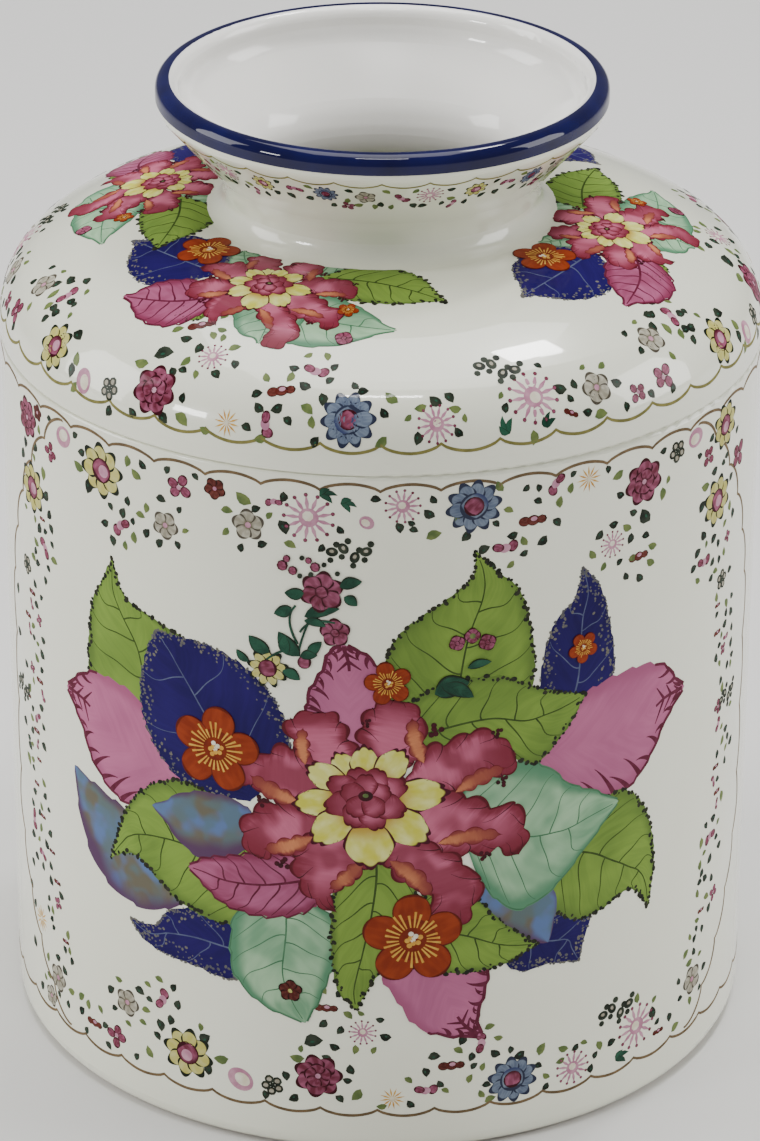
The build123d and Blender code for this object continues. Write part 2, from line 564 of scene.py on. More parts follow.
BOUQUET = {
    "green_leaves": ("green", "green_line", "green_dot"),
    "blue_leaves": ("blue", "mottled", "blue_line", "blue_dot"),
    "pink_leaves": ("pink", "rose", "pink_line"),
    "celadon_leaves": ("celadon", "celadon_line"),
    "peony": ("peony", "fold", "wine"),
    "yellow_petals": ("cream",),
    "orange_flowers": ("orange", "orange_heart", "gold", "white"),
    "small_flowers": ("ruby", "straw", "brown", "dark", "teal", "moss"),
}
BORDER = {
    "border_flowers": ("straw", "sky", "ruby", "shell", "gold", "grey", "brown", "white"),
    "border_leaves": ("dark", "moss", "teal"),
}


# ---------------------------------------------------------------- leaves and petals


def smooth_line(points):
    """A smooth curve through the points, as a function of the way along it, 0 to 1."""
    points = [Vector(point) for point in points]
    runs = [(end - start).length for start, end in zip(points, points[1:])]
    whole = [points[0] * 2 - points[1], *points, points[-1] * 2 - points[-2]]

    def at(along):
        reach = along * sum(runs)
        number = 0
        while reach > runs[number] and number < len(runs) - 1:
            reach -= runs[number]
            number += 1
        t = reach / runs[number]
        first, start, end, last = whole[number : number + 4]
        bent = (end - first) * t + (first * 2 - start * 5 + end * 4 - last) * t**2
        return start + (bent + (start * 3 - first - end * 3 + last) * t**3) / 2

    return at


def between(left, right):
    """A shape between two edges: a function of the way along it and of the side, -1 to 1."""
    left, right = smooth_line(left), smooth_line(right)

    def place(along, side):
        first, second = left(along), right(along)
        return (first + second) / 2 + (first - second) * (side / 2)

    return place


def leaf_edges(base, tip, width, bend=0.0, full=0.42):
    """The two edges of a plain pointed leaf, widest at full."""
    base, tip = Vector(base), Vector(tip)
    run = tip - base
    across = Vector((-run.y, run.x)).normalized()
    edges = []
    for side in (1, -1):
        points = [base]
        for along, share in ((full * 0.4, 0.78), (full, 1.0), (full + 0.28, 0.72), (0.9, 0.2)):
            bow = across * (run.length * bend * 4 * along * (1 - along))
            points.append(base + run * along + bow + across * (side * width * share))
        edges.append([*points, tip])
    return edges


LEAF_INK = {
    "green": dict(
        line="green_line", veins=5, width=0.42, start=0.08, dots="green_dot", spacing=1.1,
        size=0.66, spread=1.3,
    ),
    "blue": dict(
        line="blue_line", veins=2, width=0.3, start=0.25, dots="blue_dot", spacing=0.36, size=0.40,
        spread=4.2,
    ),
    "pink": dict(line="pink_line", veins=0, width=0.85, start=0.36, edge=0.36, barbs=9),
    "rose": dict(line="pink_line", veins=6, width=0.5, start=0.1, edge=0.0),
    "celadon": dict(line="celadon_line", veins=5, width=0.36, start=0.05, edge=0.1),
    "mottled": dict(line="blue_line", veins=0, width=0.2, start=0.3),
}


def leaf(design, kind, left, right, teeth=12, tooth=0.5, inked=1):
    """A leaf between two edges from its base to its tip, with its veins and its inked edge."""
    form = between(left, right)

    def place(along, side):
        out = (form(along, 1) - form(along, -1)).normalized()
        saw = tooth * ((along * teeth) % 1 - 0.4) * side * abs(side) ** 5
        return form(along, side) + out * saw

    length = run_of(lambda t: form(t, 0))
    width = max((form(t / 8, 1) - form(t / 8, -1)).length for t in range(1, 8))
    design.sheet(kind, max(teeth * 4, cells(length)), cells(width), place)
    ink = LEAF_INK[kind]
    with design.together():
        draw_veins(design, form, ink["line"], ink["veins"], ink["width"], ink["start"])
        if "barbs" in ink:
            draw_barbs(design, form, ink["line"], ink["barbs"], ink["width"], ink["start"], inked)
        if "edge" in ink:
            draw_edges(design, place, ink["line"], ink["width"], ink["edge"], inked)
        if "dots" in ink:
            dot_edges(design, form, ink["dots"], ink["spacing"], ink["size"], ink["spread"])


def draw_veins(design, form, paint, count, width, start):
    """A midrib and its side veins, which sweep towards the leaf's tip."""
    if not count:
        return
    design.line(paint, lambda t: form(start + (0.96 - start) * t, 0.0), width * 1.5, 0.6)
    for number in range(count):
        for side in (0.94, -0.94):
            foot = start + (0.80 - start) * (number + 0.3 + 0.3 * (side > 0)) / count
            reach = 0.26 * (1 - foot)
            design.line(
                paint,
                lambda t: form(foot + reach * t**1.6 + 0.008 * sin(8 * t + 9 * foot), side * t),
                width,
                0.6,
            )


def draw_barbs(design, form, paint, count, width, start, inked):
    """Crimson barbs in from a pink leaf's edges towards its base, and a fishbone at its tip."""
    design.line(paint, lambda t: form(0.74 + 0.24 * t, 0.0), width * 0.8, -0.6)
    for number in range(count):
        foot = start + (0.97 - start) * (number + 1) / count
        for side in (1, -1):
            if side != inked and foot < 0.78:
                continue
            outer = form(foot, 0.99 * side)
            inner = form(foot - 0.09, side * (0.66 - 0.2 * (number % 2)))
            barb = lambda t: outer.lerp(inner, t**0.9)
            design.line(paint, barb, width * 1.7, 0.9, scallops=1, bulge=0.5 * side)
    for number in range(3):
        root = form(0.95 - 0.07 * number, 0.0)
        for side in (0.42, -0.42):
            end = form(0.90 - 0.08 * number, side)
            design.line(paint, lambda t: root.lerp(end, t), width, 0.7)


def draw_edges(design, form, paint, width, start, inked):
    """A line along each edge of a leaf, further down the inked one."""
    for side in (1, -1):
        begin = start if side == inked else min(0.8, start * 2)
        edge = lambda t: form(begin + (0.99 - begin) * t, 0.98 * side)
        design.line(paint, edge, width * 0.8, -0.5)


def dot_edges(design, form, paint, spacing, size, spread):
    """Dots of ink along a leaf's edges, and in from them as far as spread."""
    for side in (1, -1):
        count = int(run_of(lambda t: form(t, side)) / spacing)
        for number in range(count):
            along = 0.1 + 0.9 * (number + BRUSH.random()) / count
            point = form(along, side)
            room = form(along, 0) - point
            inward = min(spread, room.length) * BRUSH.random() ** 2 - 0.25 * size
            x, y = point + room.normalized() * inward
            design.dot(paint, x, y, size * BRUSH.uniform(0.45, 1.25), 0.75, BRUSH.uniform(0, pi))


def small_leaf(design, paint, base, tip, width, bend=0.0, full=0.45, along=4, across=2):
    """A little leaf in one brush stroke."""
    base, tip = Vector(base), Vector(tip)
    run = tip - base
    side_way = Vector((-run.y, run.x))

    def place(out, side):
        swell = sin(pi * out ** (log(0.5) / log(full))) ** 0.8
        middle = base + run * out + side_way * (bend * 2 * out * (1 - out))
        return middle + side_way.normalized() * (side * width * swell)

    design.sheet(paint, along, across, place)


def lobed_petal(design, paint, left, right, lobes=7, depth=1.7):
    """A ruffled petal between two edges, with round lobes along them."""
    form = between(left, right)

    def place(along, side):
        heading = form(min(along + 0.01, 1.0), side) - form(max(along - 0.01, 0.0), side)
        out = Vector((-heading.y, heading.x)).normalized()
        if out.dot(form(along, 1) - form(along, -1)) < 0:
            out = -out
        ruffles = abs(sin(pi * lobes * along**0.8)) ** 0.8 - 0.5
        ends = min(1.0, along * 3, (1 - along) * 7)
        return form(along, side) + out * (depth * ruffles * ends * side * abs(side) ** 3)

    length = run_of(lambda t: form(t, 1))
    design.sheet(paint, max(lobes * 12, cells(length)), 14, place)
    return form


def draw_ruffles(design, paint, form, lobes):
    """Fine lines in from the notches between a petal's lobes, curving towards its base."""
    for number in range(2, lobes + 1):
        notch = (number / lobes) ** 1.25
        for side in (0.95, -0.95):
            deep = 0.35 + 0.25 * (number % 2)
            design.line(
                paint,
                lambda t: form(notch * (1 - 0.16 * t * t) - 0.02, side * (1 - deep * t)),
                0.34,
                0.8,
            )


def petal(design, paint, base, tip, width, lobes=2, ruffle=0.07, neck=0.35, round_off=0.38):
    """A petal that widens from its base to a round, lobed outer edge."""
    base, tip = Vector(base), Vector(tip)
    run = tip - base
    side_way = Vector((-run.y, run.x)).normalized()

    def place(out, side):
        spread = neck + (1 - neck) * sin(out * pi / 2) ** 0.8
        spread *= (1 - 0.45 * max(0.0, (out - 0.6) / 0.4) ** 2) ** 0.5
        wave = lobes * pi * side / 2
        frill = 1 + ruffle * (abs(cos(wave) if lobes % 2 else sin(wave)) ** 0.8 - 0.5) * out**3
        reach = out * (1 - round_off * side * side) ** 0.5 * frill
        return base + run * reach + side_way * (side * width * spread)

    across = 2 * lobes + 2 if width < 2.0 else 8 * lobes + 2
    design.sheet(paint, max(4, cells(run.length)), max(across, 2 * cells(width)), place)


def blossom(design, paint, radius, petals, width=1.0, heart=None, heart_size=0.35, turn=0.0):
    """Round petals about a point, and a heart."""
    for number in range(petals):
        angle = 2 * pi * number / petals + turn
        out = Vector((cos(angle), sin(angle)))
        half = radius * sin(pi / petals) * width
        petal(design, paint, out * radius * 0.12, out * radius, half, 1, 0.0, 0.35, 0.66)
    if heart:
        design.dot(heart, 0, 0, radius * heart_size)


def orange_flower(design, x, y, radius, turn=0.0, petals=5):
    """Round orange petals with amber rays about a yellow heart."""
    design.move_to(x, y)
    for number in range(petals):
        angle = 2 * pi * number / petals + turn
        out = Vector((cos(angle), sin(angle))) * radius * 0.60
        design.dot("orange", out.x, out.y, radius * 0.40, 0.95, angle)
    design.dot("orange_heart", 0, 0, radius * 0.46)
    with design.together():
        for number in range(26):
            angle = 2 * pi * (number + 0.4 * BRUSH.random()) / 26
            out = Vector((cos(angle), sin(angle)))
            start, end = out * radius * 0.27, out * radius * BRUSH.uniform(0.46, 0.64)
            design.line("gold", lambda t: start.lerp(end, t), radius * 0.025, -1.0)
    with design.together():
        for number in range(9):
            angle = 2.4 * number
            out = radius * 0.055 * number**0.5
            paint = "gold" if number % 3 else "white"
            design.dot(paint, out * cos(angle), out * sin(angle), radius * 0.055)
    design.move_to()


# ---------------------------------------------------------------- border motifs, drawn about 0, 0


def yellow_flower(design, size):
    blossom(design, "straw", size, 8, 0.95, "ruby", 0.44)
    design.dot("shell", -0.06 * size, 0.08 * size, 0.22 * size)


def blue_flower(design, size):
    blossom(design, "sky", size, 10, 1.1, "sky", 0.5)
    design.dot("ruby", 0, 0, 0.36 * size)


def rays(design, paint, size, count, start, width, tips):
    with design.together():
        for number in range(count):
            angle = 2 * pi * number / count
            out = Vector((cos(angle), sin(angle)))
            small_leaf(design, paint, out * start * size, out * size, width * size, 0.0, 0.6, 2, 1)
            if tips:
                design.dot(tips, *(out * size * 0.97), 0.085 * size)


def pink_star(design, size):
    rays(design, "shell", size, 13, 0.2, 0.085, "ruby")
    design.dot("shell", 0, 0, 0.40 * size)
    design.dot("white", 0.05 * size, 0.05 * size, 0.22 * size)


def orange_star(design, size):
    rays(design, "gold", size, 12, 0.1, 0.07, None)
    design.dot("white", 0, 0, 0.18 * size)


def crimson_cluster(design, size):
    for number in range(4):
        angle = 1.7 * number
        x, y = 0.62 * size * cos(angle), 0.62 * size * sin(angle)
        design.dot("ruby", x, y, 0.5 * size, 0.85, angle)
    design.dot("shell", 0.1 * size, 0, 0.2 * size)


def crimson_bloom(design, size):
    blossom(design, "ruby", size, 7, 1.1)
    blossom(design, "ruby", size * 0.58, 5, 1.1, "shell", 0.2)


def crimson_buds(design, size):
    design.dot("ruby", -0.5 * size, 0.35 * size, 0.55 * size, 0.8, 0.4)
    design.dot("shell", 0.1 * size, 0.0, 0.50 * size, 0.8, -0.6)
    design.dot("ruby", 0.45 * size, -0.45 * size, 0.52 * size, 0.75, -0.9)


def brown_bud(design, size):
    for place, wide in ((-0.62, 0.42), (0.0, 0.45), (0.62, 0.38)):
        design.dot("brown", place * size, 0.05 * size, wide * size, 0.85)
    design.dot("shell", 0.05 * size, 0.16 * size, 0.24 * size, 0.7)


def grey_flower(design, size):
    blossom(design, "grey", size, 5, 1.0, "shell", 0.18)


def ring_cluster(design, size):
    for number in range(5):
        angle = 2 * pi * number / 5
        x, y = 0.6 * size * cos(angle), 0.6 * size * sin(angle)
        design.dot("dark", x, y, 0.42 * size)
        design.dot("grey", x, y, 0.26 * size)
    design.dot("dark", 0, 0, 0.22 * size)


def brown_cluster(design, size):
    blossom(design, "brown", size, 5, 1.0, "shell", 0.18)


def dark_leaf(design, size):
    small_leaf(design, "dark", (-size, 0), (size, 0.1 * size), 0.72 * size, 0.25)
    design.dot("teal", -0.1 * size, 0.1 * size, 0.22 * size, 0.8)


def moss_leaf(design, size):
    small_leaf(design, "moss", (-size, 0), (size, 0), 0.62 * size, 0.2)


def teal_curl(design, size):
    for turn, reach in ((0.2, 1.0), (1.2, 0.8), (-0.8, 0.8)):
        tip = (reach * size * cos(turn), reach * size * sin(turn))
        small_leaf(design, "teal", (-0.6 * size, 0), tip, 0.28 * size, 0.35)


def pale_round(design, size):
    design.dot("shell", 0, 0, size, 0.85)
    design.dot("white", 0.1 * size, 0.1 * size, 0.6 * size, 0.8)


def black_sprig(design, size):
    for number in range(4):
        angle = 2.2 * number
        x, y = size * (0.75 * number - 1.1), 0.35 * size * sin(angle)
        design.dot("dark", x, y, 0.42 * size, 0.8, angle)
        design.dot("grey", x, y + 0.05 * size, 0.2 * size, 0.7, angle)
        design.dot("dark", x + 0.3 * size, y + 0.55 * size, 0.24 * size)
        design.dot("dark", x - 0.1 * size, y - 0.6 * size, 0.22 * size)


def scatter(design, motifs):
    """Stamp border motifs: for each, its places and sizes. Their turns differ with the place."""
    for motif, places in motifs.items():
        for x, y, size in places:
            turn = 0.0 if motif in (brown_bud, black_sprig) else radians((37 * x + 91 * y) % 360)
            design.move_to(x, y, turn)
            motif(design, size)
    design.move_to()


LEAFY = (  # the flowers that have small leaves round them
    yellow_flower,
    blue_flower,
    pink_star,
    crimson_bloom,
    grey_flower,
    crimson_buds,
    brown_bud,
)


def leaves_about(motifs, inside):
    """The motifs, with small leaves added round the flowers wherever there is room."""
    taken = [spot for places in motifs.values() for spot in places]
    added = {dark_leaf: [], moss_leaf: []}
    for flower in LEAFY:
        for x, y, size in motifs.get(flower, ()):
            for number in range(7):
                angle = 2 * pi * number / 7 + 0.3 * x
                reach = size + BRUSH.uniform(1.5, 2.6)
                spot = (x + reach * cos(angle), y + reach * sin(angle), BRUSH.uniform(1.0, 1.6))
                if inside(*spot) and is_free(taken, spot):
                    taken.append(spot)
                    added[moss_leaf if number % 3 == 0 else dark_leaf].append(spot)
    return joined(motifs, added)


def joined(motifs, added):
    """Two tables of motifs and their places as one."""
    whole = {**motifs, **added}
    return {motif: (*motifs.get(motif, ()), *added.get(motif, ())) for motif in whole}


def is_free(taken, spot):
    """Whether a motif here would touch none of those in place."""
    x, y, size = spot
    return all(hypot(x - a, y - b) > 0.9 * (size + other) for a, b, other in taken)


# ---------------------------------------------------------------- the body's bouquet

PEONY = Vector((-3, 96))


BIG_LEAVES = (  # from the back: kind, two edges from base to tip, teeth, their depth, inked side
    (
        "blue",
        ((44, 108), (38, 116), (38, 126), (41, 136), (46, 141), (48, 148.5)),
        ((44, 108), (54, 114), (57.5, 120), (56, 132), (53, 142), (48, 148.5)),
        9,
    ),
    (
        "green",
        ((14, 106), (2, 116), (1, 129), (5, 138), (15, 145.5), (21, 151), (21.5, 157)),
        ((14, 106), (32, 112), (36, 124), (35, 136), (32, 146), (26, 152), (21.5, 157)),
        20,
    ),
    (
        "pink",
        ((-6, 104), (-15, 112), (-16.5, 120), (-13, 128), (-11, 133), (-8, 134.5)),
        ((-6, 104), (3, 112), (2, 123), (-1, 130), (-4.5, 133), (-8, 134.5)),
        8,
        0.9,
    ),
    (
        "pink",
        ((34, 104), (44, 113), (54, 117.5), (66, 118.2), (74, 115.5), (77.5, 111.5), (81.7, 107)),
        ((34, 104), (42, 93), (52, 87.5), (63, 87.6), (70, 93.5), (75, 101), (81.7, 107)),
        10,
        0.9,
        -1,
    ),
    (
        "green",
        ((-56, 98), (-74, 104), (-76, 116), (-74.5, 130), (-70.5, 138), (-67, 144.5)),
        ((-56, 98), (-40, 110), (-42, 127), (-54, 132.8), (-63, 136), (-67, 144.5)),
        20,
    ),
    (
        "pink",
        ((-46, 92), (-55, 84), (-66, 82.5), (-75, 89), (-79, 97), (-85, 105)),
        ((-46, 92), (-52, 106), (-62, 112), (-72, 113.3), (-79, 110.5), (-85, 105)),
        9,
        0.9,
    ),
    (
        "mottled",
        ((-44, 63), (-56, 56.5), (-67, 57), (-76, 63), (-81, 74), (-82.5, 85)),
        ((-44, 63), (-53, 73), (-64, 80), (-72, 82.5), (-78, 84), (-82.5, 85)),
        6,
        0.9,
    ),
    (
        "blue",
        ((-30, 92), (-46, 92.5), (-56, 102), (-59, 113), (-57, 124), (-54, 130.5)),
        ((-30, 92), (-21, 103), (-21.5, 114), (-28, 124), (-39, 129.8), (-54, 130.5)),
        16,
        0.9,
    ),
    (
        "blue",
        ((-26, 52), (-34, 44), (-44, 45), (-54, 46), (-60, 48), (-63.5, 51.8)),
        ((-26, 52), (-34, 60), (-44, 60.5), (-52, 57.5), (-56, 52.5), (-63.5, 51.8)),
        9,
    ),
    (
        "blue",
        ((27, 60), (30, 50), (34.5, 46.5), (41, 47), (49.5, 45.5)),
        ((27, 60), (40, 61), (52, 58), (51, 52), (49.5, 45.5)),
        7,
    ),
    (
        "green",
        ((-24, 68), (-32, 59.5), (-42, 59), (-51, 62.5), (-60, 69), (-65, 68.5), (-69.5, 65.8)),
        ((-24, 68), (-34, 88), (-46, 93.3), (-56, 90), (-64, 81), (-67, 73), (-69.5, 65.8)),
        20,
    ),
    (
        "green",
        ((43, 76), (41, 64), (47, 57.5), (55, 57.3), (63, 60), (67.5, 57.5), (70.5, 52.6)),
        ((43, 76), (51, 85), (61, 87.5), (68, 81), (71.8, 70), (72, 61), (70.5, 52.6)),
        20,
    ),
    (
        "mottled",
        ((20, 70), (24, 60), (29, 56), (35, 54), (41, 52.8)),
        ((20, 70), (33, 71), (42, 67), (42.5, 59), (41, 52.8)),
        5,
        0.7,
    ),
    (
        "celadon",
        ((18, 90), (21, 99), (31, 102.5), (39.5, 99.8), (46, 93.5), (53, 89.8), (60, 85)),
        ((18, 90), (22, 77), (27, 67.5), (33.5, 63.2), (42, 67), (51, 76), (60, 85)),
        8,
        0.7,
    ),
    (
        "green",
        ((4, 108), (4, 117), (14, 124), (27, 125), (36, 120.7), (43, 118), (49.5, 116)),
        ((4, 108), (18, 104), (30, 103.5), (37, 101), (42, 105.5), (46, 110), (49.5, 116)),
        18,
    ),
    (
        "mottled",
        ((-28, 85), (-33, 77.5), (-42, 74.5), (-48, 77), (-52, 81), (-56, 84.5)),
        ((-28, 85), (-31, 90.5), (-39, 92.3), (-47, 90.5), (-52, 87), (-56, 84.5)),
        5,
        0.6,
    ),
    (
        "celadon",
        ((-20, 70), (-9, 63), (-8.5, 56), (-11, 49), (-13.5, 42), (-17, 35.2)),
        ((-20, 70), (-33, 63), (-35.3, 53), (-34, 45), (-27, 38.5), (-17, 35.2)),
        8,
        0.8,
    ),
    (
        "rose",
        ((-10, 75), (-16, 65.5), (-26, 62.3), (-36, 63.5), (-42, 67.5), (-46, 71.3)),
        ((-10, 75), (-18, 81), (-28, 79), (-36, 76.5), (-42, 74.5), (-46, 71.3)),
        10,
        1.0,
    ),
    (
        "pink",
        ((10, 58), (24, 55), (26, 48.5), (25, 42), (23.5, 36.5), (24.3, 31)),
        ((10, 58), (1, 50), (4.5, 42), (9, 35), (16, 32), (24.3, 31)),
        8,
        0.9,
    ),
    (
        "green",
        ((0, 62), (8, 51), (19, 48.6), (29, 49.3), (38.5, 53)),
        ((0, 62), (12, 71), (22, 68.5), (30, 60), (38.5, 53)),
        12,
    ),
    (
        "green",
        ((-2, 86), (8, 78), (8, 66), (3, 54), (-1.5, 46.5), (-5, 39.5)),
        ((-2, 86), (-9, 76), (-11, 64), (-10.5, 51), (-9, 44), (-5, 39.5)),
        16,
    ),
)


def paint_leaves(design):
    """The big leaves behind the peony, from the back to the front."""
    for details in BIG_LEAVES:
        leaf(design, *details)
    design.settle()


PEONY_PETALS = (  # each petal's two edges, from the heart outwards
    (
        ((-8, 102), (-17, 103), (-19.5, 108), (-21.5, 113), (-19, 116), (-13, 117.2)),
        ((-8, 102), (-4, 106), (-6.5, 110.5), (-8, 114.5), (-10, 116.8), (-13, 117.2)),
        5,
    ),
    (
        ((-1, 102), (-3.6, 107.5), (-4.8, 112), (-3.2, 117), (-0.5, 120), (4, 121)),
        ((-1, 102), (9, 105), (10.5, 109.5), (10.2, 114), (9.2, 118), (4, 121)),
        5,
    ),
    (
        ((5, 99), (11.4, 108.5), (16, 109.5), (20.5, 111.8), (25, 111.3), (28.7, 108.5), (31.8, 104.5)),
        ((5, 99), (14, 95.5), (20, 97.5), (25, 100.5), (29, 98.8), (31.5, 101), (31.8, 104.5)),
        6,
    ),
    (
        ((-10, 98), (-15, 105.5), (-22, 107.8), (-27, 104.5), (-32, 103), (-35.6, 98)),
        ((-10, 98), (-17, 92.5), (-23, 93.0), (-27, 95.5), (-31, 96), (-35.6, 98)),
        6,
    ),
    (
        ((-10, 88), (-17, 91.5), (-24, 93), (-29.8, 89.7), (-32.3, 85), (-31.2, 80), (-28, 77.5)),
        ((-10, 88), (-16, 81), (-21, 80), (-24.5, 79.5), (-26, 78), (-28, 77.5)),
        6,
    ),
    (
        ((6, 95), (14, 97), (22, 94.7), (28, 91), (32.3, 92), (34, 87), (35.2, 82.5), (33, 78)),
        ((6, 95), (8, 84), (14, 80.5), (20, 80), (25, 79.8), (28.5, 80.5), (30, 78.5), (33, 78)),
        7,
    ),
    (
        ((-7, 90), (-18, 84), (-20, 77.5), (-17.5, 71), (-13.5, 67), (-9.5, 65.5)),
        ((-7, 90), (-2, 79), (-6, 74.5), (-9.5, 71.5), (-11, 68.5), (-9.5, 65.5)),
        7,
    ),
    (
        ((2, 90), (13, 83), (19, 79), (21.5, 75), (24.5, 72.5), (22.8, 67.5), (20.8, 62.5), (17, 61)),
        ((2, 90), (1, 80), (4.5, 74.5), (10, 71.5), (12.8, 68), (11.6, 64.5), (13.5, 61.5), (17, 61)),
        7,
    ),
)
PEONY_FOLDS = (  # the turned edges: base, tip and half width
    ((-16.8, 103.5), (-17.3, 113), 1.6),
    ((10.2, 104.5), (7.4, 116.5), 1.9),
    ((17.5, 96.5), (29.5, 101.3), 1.9),
    ((-18, 93.5), (-30, 99), 2.0),
    ((-15, 85), (-27, 80.2), 2.0),
    ((13.5, 83.5), (29, 84), 1.9),
    ((-3.5, 79.5), (-11.5, 71.5), 1.8),
    ((2.5, 79.5), (12.5, 69.5), 2.1),
)
WINE_CURLS = (
    (13, 112.8, 1.9), (27, 110.6, 1.4), (28.5, 97.8, 1.5), (24.5, 79.3, 1.5), (-22, 77, 1.8),
    (-3, 115, 1.2), (-27, 92.5, 1.6),
)
YELLOW_PETALS = (  # degrees round, start, reach and half width
    (122, 5, 13.0, 3.6), (92, 5, 13.2, 3.7), (54, 6, 14.8, 4.1), (2, 7, 18.8, 4.7),
    (152, 6, 15.2, 3.9), (190, 7, 16.8, 3.9), (226, 6, 17.2, 4.6), (320, 7, 18.4, 5.0),
    (274, 8, 18.4, 6.4),
)
HEART_PETALS = ((20, 10), (65, 8), (110, 8), (155, 9.6), (200, 10), (245, 8.6), (290, 9), (335, 10))


def ring_of(design, paint, petals, lobes=3, ruffle=0.17, neck=0.5, round_off=0.5):
    """Petals about a flower's centre: angle in degrees, start, reach and half width of each."""
    for degrees_round, start, reach, width in petals:
        out = Vector((cos(radians(degrees_round)), sin(radians(degrees_round))))
        petal(design, paint, out * start, out * reach, width, lobes, ruffle, neck, round_off)


HEART_RISE = 11 * LAYER  # the peony's heart lies on top of all its outer petals


def paint_peony(design, centre, size=1.0):
    """The peony: ruffled crimson petals with turned orange edges, yellow petals and a heart."""
    start = centre - PEONY * size
    design.move_to(start.x, start.y, 0.0, size)
    for left, right, lobes in PEONY_PETALS:
        form = lobed_petal(design, "peony", left, right, lobes)
        with design.together():
            draw_ruffles(design, "wine", form, lobes)
    with design.together():
        for base, tip, width in PEONY_FOLDS:
            lobed_petal(design, "fold", *leaf_edges(base, tip, width, 0.06, 0.5), 4, 1.0)
    with design.together():
        for x, y, reach in WINE_CURLS:
            for number in range(5):
                angle = 1.9 * number + 0.2 * x
                out = reach * (0.35 + 0.13 * number)
                design.dot("wine", x + out * cos(angle), y + out * sin(angle), 0.36 * reach)
    design.move_to(centre.x, centre.y, 0.0, size)
    design.rise += HEART_RISE
    design.dot("peony", 0, 0, 10.5, 0.85)
    ring_of(design, "cream", YELLOW_PETALS, 3, 0.13, 0.6, 0.6)
    ring_of(design, "peony", tuple((turn, 1, reach, 3.7) for turn, reach in HEART_PETALS), 2, 0.08)
    ring_of(design, "peony", tuple((72 * step + 18, 0.5, 6.0, 3.1) for step in range(5)), 2, 0.08)
    design.dot("wine", 0, 0.3, 1.7, 0.8)
    design.dot("moss", 0, 0.4, 0.7, 0.8)
    design.settle()
    design.move_to()


SPRAY_LEAVES = (  # base, tip and half width
    ((-17, 141), (-9, 143.5), 1.6),
    ((-17, 140), (-12, 139), 1.1),
    ((-20, 143), (-24, 141), 1.5),
    ((-18, 131), (-23, 136.5), 2.0),
    ((-21, 131), (-21.5, 136), 1.4),
    ((-25, 131), (-30, 134.5), 1.8),
    ((-16, 131), (-13, 135), 1.3),
    ((-18, 131), (-14, 131.5), 1.2),
    ((-22, 127), (-18, 125), 1.4),
    ((-9, 149), (-4, 150.5), 1.5),
    ((-8, 146.5), (-5, 144.5), 1.3),
    ((-17, 147), (-21.5, 146.5), 1.5),
    ((-30, 128), (-33, 130.5), 1.0),
    ((12.5, 122), (20.5, 124.5), 2.8),
    ((14, 124), (21.5, 120.5), 1.9),
    ((20, 128), (25.5, 129), 1.1),
)
SPRAY_FLOWERS = (  # place, size and petals
    (-13, 147.5, 5.2, 6), (-10, 137.5, 3.6, 5), (17.5, 134.5, 2.0, 4), (24.5, 134, 2.2, 4),
)


def paint_spray(design):
    """The light spray above the peony and the small flowers over the leaves."""

    def stem(start, middle, end, width=0.5):
        start, middle, end = Vector(start), Vector(middle), Vector(end)
        curve = lambda t: start * (1 - t) ** 2 + middle * 2 * t * (1 - t) + end * t * t
        design.line("teal", curve, width)

    stem((-12, 146), (-17, 140), (-18.5, 131))
    stem((-18.5, 134), (-22, 140), (-19, 143.5))
    stem((-10, 140), (-16, 141), (-18, 137))
    stem((-26, 129), (-22, 133), (-18.5, 132))
    for base, tip, width in SPRAY_LEAVES:
        small_leaf(design, "teal", base, tip, width, 0.15, 0.45, 8, 4)
    for x, y, size, petals in SPRAY_FLOWERS:
        design.move_to(x, y, 0.4)
        blossom(design, "ruby", size, petals, 1.05, "ruby", 0.3)
    design.move_to(21, 136)
    blossom(design, "ruby", 2.0, 4, 1.05, "moss", 0.35)
    design.move_to(-25.5, 127, 0.2)
    blossom(design, "straw", 5.0, 9, 0.85, "ruby", 0.45)
    design.move_to(-20.5, 43.5, 0.3)
    blossom(design, "brown", 3.0, 5, 1.05, "straw", 0.22)
    design.move_to()
    design.dot("ruby", -17, 129.5, 1.6)
    design.dot("ruby", -14.5, 153.5, 1.2)
    for x, y, size in ((-22, 153.2, 1.3), (-19.6, 152.2, 1.1), (-21, 155, 0.9), (-16, 155, 0.8)):
        design.dot("ruby", x, y, size)
    for x, y in ((-17.5, 155.5), (-12.5, 154.2), (-9.5, 152.2), (-15.5, 151.6), (-18, 151)):
        design.dot("dark", x, y, 0.6)


def paint_orange_flowers(design):
    orange_flower(design, -38.5, 104, 11.0, radians(11))
    orange_flower(design, 8, 58.5, 12.0, radians(20))
    orange_flower(design, 2, 125, 5.6, radians(30))
    orange_flower(design, 48.5, 128, 4.0, radians(50))
    design.settle()


def body_bouquet():
    design = Design(BOUQUET)
    paint_leaves(design)
    paint_peony(design, PEONY)
    paint_orange_flowers(design)
    paint_spray(design)
    return design


# ---------------------------------------------------------------- the body's border

